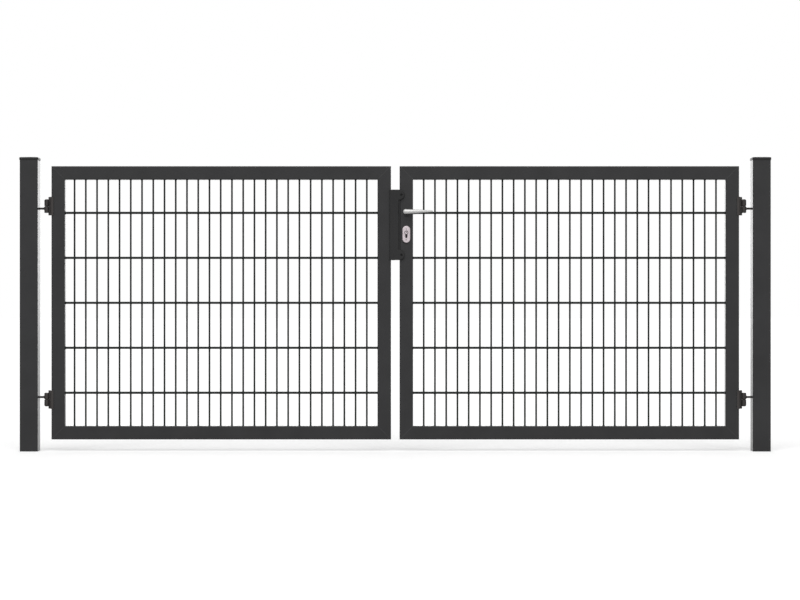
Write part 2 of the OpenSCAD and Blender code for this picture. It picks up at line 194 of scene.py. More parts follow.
def start(add, name, scale=(1, 1, 1), **settings):
    """Adds a primitive with nothing else selected, names it and scales it about its own middle."""
    bpy.ops.object.select_all(action="DESELECT")
    add(**settings)
    piece = bpy.context.active_object
    piece.name = piece.data.name = name
    piece.scale = scale
    return settle(piece)


@contextmanager
def shaping(piece):
    """Edit mode on one piece, with nothing selected."""
    choose(piece)
    bpy.ops.object.mode_set(mode="EDIT")
    bpy.ops.mesh.select_mode(type="FACE")
    bpy.ops.mesh.select_all(action="DESELECT")
    yield
    bpy.ops.object.mode_set(mode="OBJECT")


def pick(piece, kind, test):
    """In edit mode, selects only the corners, edges or faces that pass the test."""
    bpy.ops.mesh.select_mode(type=kind)
    bpy.ops.mesh.select_all(action="DESELECT")
    work = bmesh.from_edit_mesh(piece.data)
    for part in {"VERT": work.verts, "EDGE": work.edges, "FACE": work.faces}[kind]:
        if test(part):
            part.select_set(True)
    work.select_flush_mode()
    bmesh.update_edit_mesh(piece.data)


def facing(direction):
    """A test for faces that look that way."""
    towards = Vector(direction)
    return lambda face: face.normal.dot(towards) > 0.99


def push(step):
    """Extrudes what is selected by that step."""
    bpy.ops.mesh.extrude_region_move(TRANSFORM_OT_translate={"value": step})


def modify(piece, kind, **settings):
    """Adds a modifier with these settings and applies it."""
    choose(piece)
    bpy.ops.object.modifier_add(type=kind)
    modifier = piece.modifiers[-1]
    for setting, value in settings.items():
        setattr(modifier, setting, value)
    bpy.ops.object.modifier_apply(modifier=modifier.name)
    return piece


def repeat(piece, count, step):
    """Repeats a piece in a row."""
    return modify(piece, "ARRAY", count=count, use_relative_offset=False,
                  use_constant_offset=True, constant_offset_displace=step)


def reflect(piece, x=False, y=False, z=False):
    """Adds a piece's mirror images across the origin's planes."""
    modify(piece, "MIRROR", use_axis=(x, y, z), use_mirror_merge=False)
    return outward(piece)


def outward(piece):
    """Merges doubles and turns every face outwards."""
    with shaping(piece):
        bpy.ops.mesh.select_all(action="SELECT")
        bpy.ops.mesh.remove_doubles(threshold=1e-6)
        bpy.ops.mesh.normals_make_consistent(inside=False)
    return piece


def cut(piece, tool):
    """Cuts a tool out of a piece and removes it."""
    modify(piece, "BOOLEAN", object=tool, operation="DIFFERENCE", solver="EXACT")
    bpy.data.objects.remove(tool)
    return piece


def join(name, pieces):
    """Makes one piece of several."""
    choose(*pieces)
    bpy.ops.object.join()
    whole = bpy.context.active_object
    whole.name = whole.data.name = name
    return whole


def copy_of(piece, name, place=(0, 0, 0), turn=(0, 0, 0), scale=(1, 1, 1)):
    """Copies a piece with its own mesh, turned about the origin and then moved."""
    choose(piece)
    bpy.ops.object.duplicate()
    twin = bpy.context.active_object
    twin.name = twin.data.name = name
    twin.scale = scale
    return placed(twin, place, turn)


def smooth(piece, angle=35):
    """Smooth shading, with edges sharper than the angle kept."""
    choose(piece)
    bpy.ops.object.shade_smooth_by_angle(angle=math.radians(angle))
    return piece


def turned(name, stations, sides=40):
    """A turned piece on +Z: a disc extruded through stations of radius and height."""
    radius, height = stations[0]
    piece = start(bpy.ops.mesh.primitive_circle_add, name, vertices=sides, radius=radius,
                  fill_type="NGON", location=(0, 0, height))
    with shaping(piece):
        bpy.ops.mesh.select_all(action="SELECT")
        for wide, high in stations[1:]:
            push((0, 0, high - height))
            share = wide / radius
            bpy.ops.transform.resize(value=(share, share, 1), center_override=(0, 0, high))
            radius, height = wide, high
    return outward(piece)


def ring(name, inner, outer, low, high, rounding, sides=48):
    """A bored barrel on Z with rounded rims: its wall's outline spun round."""
    middle = (inner + outer) / 2
    piece = start(bpy.ops.mesh.primitive_plane_add, name, size=1, rotation=(QUARTER, 0, 0),
                  location=(middle, 0, (low + high) / 2), scale=(outer - inner, high - low, 1))
    with shaping(piece):
        pick(piece, "VERT", lambda corner: corner.co.x > middle)
        bpy.ops.mesh.bevel(offset=rounding, segments=5, affect="VERTICES")
        bpy.ops.mesh.select_all(action="SELECT")
        bpy.ops.mesh.delete(type="ONLY_FACE")
        bpy.ops.mesh.select_mode(type="EDGE")
        bpy.ops.mesh.select_all(action="SELECT")
        bpy.ops.mesh.spin(steps=sides, angle=2 * math.pi, center=(0, 0, 0), axis=(0, 0, 1))
    return outward(piece)


def own_copy(node, name):
    """A copy of a CAD node with its flat faces made whole."""
    piece = bpy.data.objects.new(name, frame["nodes"][node].data.copy())
    piece.data.name = name
    bpy.context.scene.collection.objects.link(piece)
    choose(piece)
    bpy.ops.mesh.customdata_custom_splitnormals_clear()
    with shaping(piece):
        bpy.ops.mesh.select_all(action="SELECT")
        bpy.ops.mesh.remove_doubles(threshold=2e-6)
        bpy.ops.mesh.dissolve_limited(angle_limit=math.radians(0.4))
    return piece


def softened(piece, width):
    """Rounds a piece's sharp edges, and keeps its flat faces flat in the light."""
    modify(piece, "BEVEL", width=width, segments=3, limit_method="ANGLE",
           angle_limit=math.radians(32), miter_outer="MITER_ARC")
    return modify(smooth(piece), "WEIGHTED_NORMAL", keep_sharp=True)


def dress(piece, finish, body, slot, *nodes):
    """Gives a piece its finish and its body, and hides the nodes that it stands for; the slot is not
    used.
    """
    piece.data.materials.clear()
    piece.data.materials.append(finish)
    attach(piece, body)
    if nodes:
        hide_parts(*nodes)
    return piece


def recoat(finish, *nodes):
    """Gives CAD nodes a finish."""
    for node in nodes:
        frame["nodes"][node].material_slots[0].material = finish


# Finishes


def blank_finish(name):
    """A new material with its tree, its shader and the piece's own coordinates."""
    material = bpy.data.materials.new(name)
    material.use_nodes = True
    tree = material.node_tree
    where = tree.nodes.new("ShaderNodeTexCoord").outputs["Object"]
    return material, tree, tree.nodes["Principled BSDF"], where


def noise(tree, where, scale, detail, stretch=None):
    """A noise pattern, drawn out by stretch where it is given."""
    if stretch:
        mapping = tree.nodes.new("ShaderNodeMapping")
        mapping.inputs["Scale"].default_value = stretch
        tree.links.new(where, mapping.inputs["Vector"])
        where = mapping.outputs["Vector"]
    pattern = tree.nodes.new("ShaderNodeTexNoise")
    pattern.inputs["Scale"].default_value = scale
    pattern.inputs["Detail"].default_value = detail
    tree.links.new(where, pattern.inputs["Vector"])
    return pattern.outputs["Fac"]


def tint(tree, shader, pattern, colour, amount):
    """Base colour that a pattern takes from a little darker to a little lighter."""
    ramp = tree.nodes.new("ShaderNodeValToRGB")
    for stop, place, factor in zip(ramp.color_ramp.elements, (0.32, 0.68), (1 - amount, 1 + amount)):
        stop.position = place
        stop.color = (*[min(1, part * factor) for part in colour], 1)
    tree.links.new(pattern, ramp.inputs["Fac"])
    tree.links.new(ramp.outputs["Color"], shader.inputs["Base Color"])


def vary_roughness(tree, shader, pattern, middle, spread):
    """Roughness that a pattern takes to both sides of a middle value."""
    low, high = middle - spread, middle + spread
    reach = tree.nodes.new("ShaderNodeMapRange")
    for socket, value in (("From Min", 0.3), ("From Max", 0.7), ("To Min", low), ("To Max", high)):
        reach.inputs[socket].default_value = value
    tree.links.new(pattern, reach.inputs["Value"])
    tree.links.new(reach.outputs["Result"], shader.inputs["Roughness"])


def relief(tree, shader, pattern, height, strength):
    """Bump of that height from a pattern."""
    bump = tree.nodes.new("ShaderNodeBump")
    bump.inputs["Strength"].default_value = strength
    bump.inputs["Distance"].default_value = height
    tree.links.new(pattern, bump.inputs["Height"])
    for socket in ("Normal", "Coat Normal"):
        tree.links.new(bump.outputs["Normal"], shader.inputs[socket])


def powder_coat(name, colour, roughness, grain=700, gloss=1.0):
    """Powder coat: an even dark colour with a fine orange-peel skin."""
    if name in bpy.data.materials:
        return bpy.data.materials[name]
    material, tree, shader, where = blank_finish(name)
    for socket, value in (("Specular IOR Level", 0.06), ("Coat Weight", gloss), ("Coat IOR", 1.15),
                          ("Coat Roughness", 0.32)):
        shader.inputs[socket].default_value = value
    tint(tree, shader, noise(tree, where, scale=9, detail=4), colour, amount=0.09)
    vary_roughness(tree, shader, noise(tree, where, scale=55, detail=3), roughness, spread=0.05)
    relief(tree, shader, noise(tree, where, grain, detail=1), height=0.12 * MM, strength=0.35)
    return material


def moulded(name, colour, roughness, grain):
    """Moulded plastic or rubber with a fine matt texture."""
    if name in bpy.data.materials:
        return bpy.data.materials[name]
    material, tree, shader, where = blank_finish(name)
    shader.inputs["Specular IOR Level"].default_value = 0.12
    tint(tree, shader, noise(tree, where, scale=60, detail=3), colour, amount=0.05)
    vary_roughness(tree, shader, noise(tree, where, scale=400, detail=2), roughness, spread=0.03)
    relief(tree, shader, noise(tree, where, grain, detail=2), height=0.08 * MM, strength=0.4)
    return material


def satin_metal(name, colour, roughness, stretch):
    """Satin metal with a fine brushed grain, drawn out by stretch."""
    if name in bpy.data.materials:
        return bpy.data.materials[name]
    material, tree, shader, where = blank_finish(name)
    shader.inputs["Metallic"].default_value = 1.0
    grain = noise(tree, where, scale=1, detail=3, stretch=stretch)
    tint(tree, shader, noise(tree, where, scale=90, detail=3), colour, amount=0.05)
    vary_roughness(tree, shader, grain, roughness, spread=0.07)
    relief(tree, shader, grain, height=0.02 * MM, strength=0.3)
    return material


def frame_coat(finishes):
    """The coat of posts, rails and stiles."""
    return powder_coat("anthracite_powder_coat", finishes.coat, finishes.coat_roughness)


def hinge_coat(finishes):
    """The coat of eye bolts, shoes and pins."""
    return powder_coat("dark_hinge_coat", finishes.hinge, roughness=0.4, grain=1100)


def lock_steel(finishes):
    """The steel of the lock's plates, latch, plugs and screws, brushed up and down."""
    return satin_metal("satin_steel", finishes.steel, roughness=0.33, stretch=(1400, 1400, 60))


# Pieces


def hinge_pivot(side, level):
    """The point on a hinge's axis between its barrel and its eye, and the turn of its hardware."""
    low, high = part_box(f"{side}_{level}_eye_bolt")
    axis = next(j for j in frame["joints"] if j["name"] == f"{side}_leaf_swing")["pos_m"]
    gap = 0.25 * MM
    height = high.z + gap if level == "upper" else low.z - gap
    turn = (0 if level == "upper" else HALF_TURN, 0, 0 if side == "left" else HALF_TURN)
    return (axis[0], axis[1], height), turn


class GATE_OT_stage(bpy.types.Operator):
    """Set up the floor, the light and the camera"""

    bl_idname = "gate.stage"
    bl_label = "Stage"

    def execute(self, context):
        self.sky(context.scene)
        self.floor()
        for name, azimuth, elevation, strength in (
            ("key_light", -6, 38, 2.1),
            ("front_light", 20, 12, 0.25),
            ("back_light", 180, 14, 1.3),
        ):
            self.sun(name, math.radians(azimuth), math.radians(elevation), strength)
        self.camera(context.scene)
        context.scene.view_settings.view_transform = "Standard"
        return {"FINISHED"}

    def seen(self, tree):
        """1 on the rays that show the background: to the camera, in a reflection or through glass."""
        path = tree.nodes.new("ShaderNodeLightPath")
        ray = path.outputs["Is Camera Ray"]
        for other in ("Is Glossy Ray", "Is Transmission Ray"):
            either = tree.nodes.new("ShaderNodeMath")
            either.operation = "MAXIMUM"
            tree.links.new(ray, either.inputs[0])
            tree.links.new(path.outputs[other], either.inputs[1])
            ray = either.outputs[0]
        return ray

    def split(self, tree, hidden, shown, output):
        """Gives one shader to the rays that show the background, and the other to the rest."""
        choice = tree.nodes.new("ShaderNodeMixShader")
        tree.links.new(self.seen(tree), choice.inputs["Fac"])
        tree.links.new(hidden.outputs[0], choice.inputs[1])
        tree.links.new(shown.outputs[0], choice.inputs[2])
        tree.links.new(choice.outputs[0], tree.nodes[output].inputs["Surface"])

    def sky(self, scene):
        """A dim even light from all round, which is seen as white."""
        dim, full = 0.32, 1.0
        world = bpy.data.worlds.new("white_studio")
        world.use_nodes = True
        scene.world = world
        tree = world.node_tree
        ambient, white = tree.nodes["Background"], tree.nodes.new("ShaderNodeBackground")
        for light, strength in ((ambient, dim), (white, full)):
            light.inputs["Color"].default_value = (1, 1, 1, 1)
            light.inputs["Strength"].default_value = strength
        self.split(tree, ambient, white, "World Output")

    def floor(self):
        """A floor that throws light back as grey does, and is seen as white with the gate's shadow."""
        size, below, grey_tone, paper_tone, lift = 160, 0.2 * MM, 0.5, 0.85, 0.34
        floor = start(bpy.ops.mesh.primitive_plane_add, "studio_floor", size=size,
                      location=(MIDDLE_X, 0, -below))
        material = bpy.data.materials.new("studio_floor")
        material.use_nodes = True
        tree = material.node_tree
        tree.nodes.remove(tree.nodes["Principled BSDF"])
        grey, paper = (tree.nodes.new("ShaderNodeBsdfDiffuse") for _ in range(2))
        for surface, tone in ((grey, grey_tone), (paper, paper_tone)):
            surface.inputs["Color"].default_value = (tone, tone, tone, 1)
        glow = tree.nodes.new("ShaderNodeEmission")
        glow.inputs["Strength"].default_value = lift
        pale = tree.nodes.new("ShaderNodeAddShader")
        tree.links.new(paper.outputs[0], pale.inputs[0])
        tree.links.new(glow.outputs[0], pale.inputs[1])
        self.split(tree, grey, pale, "Material Output")
        floor.data.materials.append(material)

    def sun(self, name, azimuth, elevation, strength):
        """A soft lamp that shines on the gate's middle from that side and height."""
        middle, distance, spread = Vector((MIDDLE_X, 0, 0.7)), 8, math.radians(60)
        away = Vector((math.sin(azimuth) * math.cos(elevation),
                       -math.cos(azimuth) * math.cos(elevation), math.sin(elevation)))
        bpy.ops.object.light_add(type="SUN", location=middle + distance * away)
        lamp = bpy.context.active_object
        lamp.name = lamp.data.name = name
        lamp.rotation_euler = away.to_track_quat("Z", "Y").to_euler()
        lamp.data.energy, lamp.data.angle = strength, spread

    def camera(self, scene):
        """A level camera before the gate, which takes in that width at the leaves' front."""
        eye_x, eye_z, front_y, distance, width, sensor = 1.646, 0.6715, -0.02, 11.0, 3.552, 36
        bpy.ops.object.camera_add(location=(eye_x, front_y - distance, eye_z), rotation=(QUARTER, 0, 0))
        camera = bpy.context.active_object
        camera.data.sensor_fit = "HORIZONTAL"
        camera.data.sensor_width = sensor
        camera.data.lens = sensor * distance / width
        camera.data.clip_end = 200
        scene.camera = camera


class GATE_OT_frames(bpy.types.Operator):
    """Coat the posts and the leaf frames, and add the ground welds on their mitres"""

    bl_idname = "gate.frames"
    bl_label = "Posts and frames"

    def execute(self, context):
        finishes = context.scene.gate_finishes
        coat = frame_coat(finishes)
        # The mitre welds take the lighter seam coat, which paints a highlight along the mitres.
        seam_highlight_coat = powder_coat("ground_weld_coat", finishes.seam, roughness=0.4)
        for side, stile in (("left", "meeting"), ("right", "lock")):
            recoat(coat, f"{side}_post", f"{side}_top_rail", f"{side}_bottom_rail",
                   f"{side}_hinge_stile", f"{side}_{stile}_stile")
        seam = self.seam(context.scene.gate_sizes)
        for side in SIDES:
            (low, rail_top), (_, high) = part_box(f"{side}_bottom_rail"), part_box(f"{side}_top_rail")
            inset = 0.5 * (rail_top.z - low.z)
            strips = []
            for x, slope_x in ((low.x + inset, 1), (high.x - inset, -1)):
                for z, slope_z in ((low.z + inset, 1), (high.z - inset, -1)):
                    lean = -QUARTER / 2 * slope_x * slope_z
                    for y, turn in ((low.y, 0), (high.y, HALF_TURN)):
                        strips.append(copy_of(seam, "seam", (x, y, z), (0, lean, turn)))
            welds = smooth(join(f"{side}_mitre_welds", strips), angle=50)
            dress(welds, seam_highlight_coat, f"{side}_leaf", "frame_coat")
        bpy.data.objects.remove(seam)
        return {"FINISHED"}

    def seam(self, sizes):
        """A low ridge along X on a face that looks along -Y, sunk in it up to its rounded top."""
        length, depth, width, proud = 70 * MM, 2 * MM, sizes.weld_width, sizes.weld_proud
        seam = start(bpy.ops.mesh.primitive_cube_add, "seam", size=1, scale=(length, depth, width),
                     location=(0, depth / 2 - proud, 0))
        with shaping(seam):
            pick(seam, "EDGE", lambda edge: all(vert.co.y < 0 for vert in edge.verts)
                 and abs(edge.verts[0].co.x - edge.verts[1].co.x) > length / 2)
            bpy.ops.mesh.bevel(offset=width * 0.45, segments=4, profile=0.7, affect="EDGES")
            for place in (-30 * MM, -10 * MM, 10 * MM, 30 * MM):
                bpy.ops.mesh.select_all(action="SELECT")
                bpy.ops.mesh.bisect(plane_co=(place, 0, 0), plane_no=(1, 0, 0))
            pick(seam, "FACE", lambda face: abs(face.normal.x) > 0.99)
            bpy.ops.transform.translate(value=(0, proud, 0))
        return outward(seam)


class GATE_OT_post_caps(bpy.types.Operator):
    """Model the moulded caps on the posts"""

    bl_idname = "gate.post_caps"
    bl_label = "Post caps"

    def execute(self, context):
        sizes, finishes = context.scene.gate_sizes, context.scene.gate_finishes
        plastic = moulded("moulded_cap_plastic", finishes.plastic, roughness=0.42, grain=1500)
        cap = self.cap(sizes)
        for side in SIDES:
            low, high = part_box(f"{side}_post_cap")
            piece = copy_of(cap, f"{side}_moulded_cap", ((low.x + high.x) / 2, (low.y + high.y) / 2, 0))
            dress(smooth(piece), plastic, "posts", "cap_plastic", f"{side}_post_cap")
        bpy.data.objects.remove(cap)
        return {"FINISHED"}

    def cap(self, sizes):
        """A square cap round Z: rounded corners, a shallow crown and a skirt round the post."""
        low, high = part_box("left_post_cap")
        corner, wall, crown, lip = 6.7 * MM, 2 * MM, 2.6 * MM, 0.8 * MM
        post_top, width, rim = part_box("left_post")[1].z, high.x - low.x, high.z - crown
        cap = start(bpy.ops.mesh.primitive_cube_add, "cap", size=1, scale=(width, width, rim - low.z),
                    location=(0, 0, (rim + low.z) / 2))
        with shaping(cap):
            pick(cap, "EDGE", lambda edge: abs(edge.verts[0].co.z - edge.verts[1].co.z) > MM)
            bpy.ops.mesh.bevel(offset=corner, segments=8, affect="EDGES")
            pick(cap, "EDGE", lambda edge: all(vert.co.z > rim - MM for vert in edge.verts))
            bpy.ops.mesh.bevel(offset=sizes.cap_round, segments=5, affect="EDGES")
            pick(cap, "FACE", facing((0, 0, 1)))
            last = 1
            for share in (0.86, 0.7, 0.52, 0.32, 0.12):
                push((0, 0, crown * (last ** 2 - share ** 2)))
                narrower = share / last
                bpy.ops.transform.resize(value=(narrower, narrower, 1), center_override=(0, 0, rim))
                last = share
            pick(cap, "FACE", facing((0, 0, -1)))
            bpy.ops.mesh.inset(thickness=wall)
            push((0, 0, post_top - low.z))
        modify(cap, "BEVEL", width=lip, segments=3, limit_method="ANGLE",
               angle_limit=math.radians(40))
        return outward(cap)


class GATE_OT_mesh_panels(bpy.types.Operator):
    """Model the welded mesh: uprights pressed between pairs of level rods"""

    bl_idname = "gate.mesh_panels"
    bl_label = "Mesh panels"

    def execute(self, context):
        sizes, finishes = context.scene.gate_sizes, context.scene.gate_finishes
        coat = powder_coat("mesh_powder_coat", finishes.mesh, roughness=0.38, grain=900, gloss=0.3)
        panel = self.panel(sizes.rod_sides)
        for side in SIDES:
            low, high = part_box(f"{side}_mesh")
            turn = (0, 0, 0 if side == "left" else HALF_TURN)
            piece = copy_of(panel, f"{side}_mesh_panel", (low + high) / 2, turn)
            dress(smooth(piece, angle=40), coat, f"{side}_leaf", "mesh_coat", f"{side}_mesh")
        bpy.data.objects.remove(panel)
        return {"FINISHED"}

    def panel(self, sides):
        """The left panel round its own middle, with its uprights a little towards the hinges."""
        low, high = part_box("left_mesh")
        half_w, half_d, half_h = (high - low) / 2
        upright_r, level_r, shift = 4 * MM, 5 * MM, 3.5 * MM
        columns, pitch, rows, row_pitch = 27, 50 * MM, 5, 200 * MM
        first_x, first_z = -pitch * (columns - 1) / 2 - shift, -row_pitch * (rows - 1) / 2
        level_y = half_d - level_r
        pressed, fade, wider, thinner = 4 * MM, 8 * MM, 1.12, 0.86
        flash_y, flash_r, flash_t = 3.5 * MM, 6 * MM, 1.4 * MM

        upright = start(bpy.ops.mesh.primitive_cylinder_add, "upright", vertices=sides, radius=upright_r,
                        depth=2 * half_h, location=(first_x, 0, 0))
        with shaping(upright):
            for row in range(rows):
                height = first_z + row * row_pitch
                for offset in (-fade, -pressed, 0, pressed, fade):
                    bpy.ops.mesh.select_all(action="SELECT")
                    bpy.ops.mesh.bisect(plane_co=(0, 0, height + offset), plane_no=(0, 0, 1))
                pick(upright, "VERT", lambda corner: abs(corner.co.z - height) < (pressed + fade) / 2)
                bpy.ops.transform.resize(value=(wider, thinner, 1), center_override=(first_x, 0, height))
        repeat(upright, columns, (pitch, 0, 0))

        level = start(bpy.ops.mesh.primitive_cylinder_add, "level", vertices=sides, radius=level_r,
                      depth=2 * half_w, location=(0, -level_y, first_z), rotation=(0, QUARTER, 0))
        reflect(repeat(level, rows, (0, 0, row_pitch)), y=True)

        flash = start(bpy.ops.mesh.primitive_uv_sphere_add, "flash", segments=10, ring_count=4, radius=1,
                      location=(first_x, -flash_y, first_z), scale=(flash_r, flash_t, flash_r))
        repeat(flash, columns, (pitch, 0, 0))
        reflect(repeat(flash, rows, (0, 0, row_pitch)), y=True)

        foot = placed(self.bead("foot", upright_r), (first_x, 0, -half_h))
        reflect(repeat(foot, columns, (pitch, 0, 0)), z=True)
        end = placed(self.bead("end", level_r), (-half_w, -level_y, first_z), (0, QUARTER, 0))
        reflect(repeat(end, rows, (0, 0, row_pitch)), x=True, y=True)
        return join("panel", [upright, level, flash, foot, end])

    def bead(self, name, rod_r):
        """The weld bead round the end of a rod that stands on Z."""
        return turned(name, [(rod_r + 1.7 * MM, -0.3 * MM), (rod_r + 1.5 * MM, 0.5 * MM),
                             (rod_r + 0.7 * MM, 1.5 * MM), (rod_r - 0.2 * MM, 2.1 * MM)], sides=12)


class GATE_OT_hinges(bpy.types.Operator):
    """Model the hinges: eye bolts with threads, shoes with their welds, and pins"""

    bl_idname = "gate.hinges"
    bl_label = "Hinges"

    def execute(self, context):
        sizes, finishes = context.scene.gate_sizes, context.scene.gate_finishes
        coat, weld_coat = hinge_coat(finishes), frame_coat(finishes)
        models = {"eye_bolt": self.eye_bolt(sizes.thread_pitch), "hinge_pin": self.pin()}
        weld = self.weld()
        for side in SIDES:
            welds = []
            for level in LEVELS:
                place, turn = hinge_pivot(side, level)
                for part, model in models.items():
                    piece = copy_of(model, f"{side}_{level}_turned_{part}", place, turn)
                    body = f"{side}_leaf" if part == "hinge_pin" else "posts"
                    dress(smooth(piece, angle=40), coat, body, "hinge_coat", f"{side}_{level}_{part}")
                node = f"{side}_{level}_hinge_shoe"
                shoe = softened(own_copy(node, f"{side}_{level}_forged_shoe"), sizes.edge_round)
                dress(shoe, coat, f"{side}_leaf", "hinge_coat", node)
                welds.append(copy_of(weld, "weld", place, turn))
            piece = smooth(join(f"{side}_shoe_welds", welds), angle=60)
            dress(piece, weld_coat, f"{side}_leaf", "frame_coat")
        for model in (*models.values(), weld):
            bpy.data.objects.remove(model)
        return {"FINISHED"}

    def eye_bolt(self, pitch):
        """The eye under the pivot and its threaded shank towards -X."""
        bore_r, eye_r, eye_foot, eye_top, rim = 6.05 * MM, 10.5 * MM, -30.25 * MM, -0.25 * MM, 3.5 * MM
        shank_r, shank_l, shank_z, shank_x, neck_x = 5 * MM, 53 * MM, -11 * MM, -8.4 * MM, -9.2 * MM
        to_post = (0, -QUARTER, 0)
        eye = ring("eye", bore_r, eye_r, eye_foot, eye_top, rim)
        neck = turned("neck", [(6.4 * MM, 0), (6.4 * MM, 2.6 * MM), (5.2 * MM, 4.2 * MM)], sides=32)
        placed(neck, (neck_x, 0, shank_z), to_post)
        shank = placed(self.threads(pitch, shank_r, shank_l), (shank_x, 0, shank_z), to_post)
        return join("eye_bolt", [eye, neck, shank])

    def threads(self, pitch, crest, length):
        """A threaded rod up Z: one turn of its outline, screwed up by a modifier."""
        depth, sides = 0.5 * MM, 20
        root = crest - depth
        rod = start(bpy.ops.mesh.primitive_plane_add, "threads", size=2 * root)
        with shaping(rod):
            pick(rod, "VERT", lambda corner: corner.co.x < 0 or corner.co.y < 0)
            bpy.ops.mesh.delete(type="VERT")
            bpy.ops.mesh.select_mode(type="VERT")
            bpy.ops.mesh.select_all(action="SELECT")
            bpy.ops.transform.translate(value=(0, -root, 0))
            for out, up in ((0, 0.12), (depth, 0.33), (0, 0.22), (-depth, 0.33)):
                push((out, 0, up * pitch))
        modify(rod, "SCREW", axis="Z", angle=2 * math.pi, screw_offset=pitch, steps=sides,
               render_steps=sides, iterations=round(length / pitch), use_merge_vertices=True,
               merge_threshold=1e-6)
        with shaping(rod):
            bpy.ops.mesh.select_all(action="SELECT")
            bpy.ops.mesh.fill_holes(sides=0)
        return outward(rod)

    def pin(self):
        """The headed pin through the barrel and the eye."""
        return turned("pin", [
            (5.3 * MM, -30.25 * MM), (6 * MM, -29.5 * MM), (6 * MM, 28.25 * MM), (7.6 * MM, 28.25 * MM),
            (8 * MM, 28.6 * MM), (7.9 * MM, 29.4 * MM), (7.1 * MM, 30.1 * MM), (5.2 * MM, 30.55 * MM),
            (2.6 * MM, 30.72 * MM), (0.3 * MM, 30.75 * MM),
        ], sides=48)

    def weld(self):
        """Fillet welds along the shoe's two laps: ripples on the front, mirrored to the back."""
        count, ripple, lap_x, face_y = 28, 2.6 * MM, 33.2 * MM, -20.4 * MM
        half_size = (2.5 * MM, 2.2 * MM, 2.3 * MM)
        weld = start(bpy.ops.mesh.primitive_uv_sphere_add, "ripple", segments=10, ring_count=4, radius=1,
                     location=(lap_x, face_y, -ripple * (count - 1) / 2), scale=half_size)
        return reflect(repeat(weld, count, (0, 0, ripple)), y=True)


class GATE_OT_keep(bpy.types.Operator):
    """Finish the keep: rounded plates and rubber buffers behind its lobes"""

    bl_idname = "gate.keep"
    bl_label = "Keep"

    def execute(self, context):
        sizes, finishes = context.scene.gate_sizes, context.scene.gate_finishes
        # The darker keep coat also paints shade into the recess beside the lock stile.
        coat = powder_coat("keep_powder_coat", finishes.keep, finishes.coat_roughness)
        low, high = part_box("keep_face_plate")
        from_side, from_end = 13.5 * MM, 23 * MM
        holes = [Vector((high.x - from_side, low.y, z)) for z in (low.z + from_end, high.z - from_end)]
        plate = self.plate(holes, sizes.plate_round)
        channel = own_copy("keep_channel", "keep_folded_channel")
        for piece, node in ((plate, "keep_face_plate"), (channel, "keep_channel")):
            dress(softened(piece, sizes.edge_round), coat, "left_leaf", "frame_coat", node)
        buffer = self.buffer(high.y - low.y)
        buffers = [copy_of(buffer, "stop", hole, (-QUARTER, 0, 0)) for hole in holes]
        bpy.data.objects.remove(buffer)
        rubber = moulded("buffer_rubber", finishes.rubber, roughness=0.6, grain=1800)
        dress(smooth(join("keep_buffers", buffers)), rubber, "left_leaf", "cap_plastic")
        return {"FINISHED"}

    def plate(self, holes, rounding):
        """The face plate, with the outline of its front face well rounded."""
        plate = own_copy("keep_face_plate", "keep_rounded_plate")
        front, hole_r, nearly = holes[0].y, 5 * MM, 0.05 * MM

        def on_outline(edge):
            ends = [vert.co for vert in edge.verts]
            return all(end.y < front + nearly and (end - hole).length > 1.5 * hole_r
                       for end in ends for hole in holes)

        with shaping(plate):
            pick(plate, "EDGE", on_outline)
            bpy.ops.mesh.bevel(offset=rounding, segments=5, affect="EDGES")
        return plate

    def buffer(self, back):
        """A rubber buffer up Z, sunk below the plate's front, with its head behind the plate."""
        sunk = 2.5 * MM
        return turned("buffer", [
            (3.6 * MM, sunk), (4.7 * MM, sunk + 0.7 * MM), (4.9 * MM, sunk + 1.6 * MM),
            (4.9 * MM, back + 0.1 * MM), (8.2 * MM, back + 0.15 * MM), (9 * MM, back + 0.9 * MM),
            (8.8 * MM, back + 2.3 * MM), (7.6 * MM, back + 3.1 * MM),
        ])


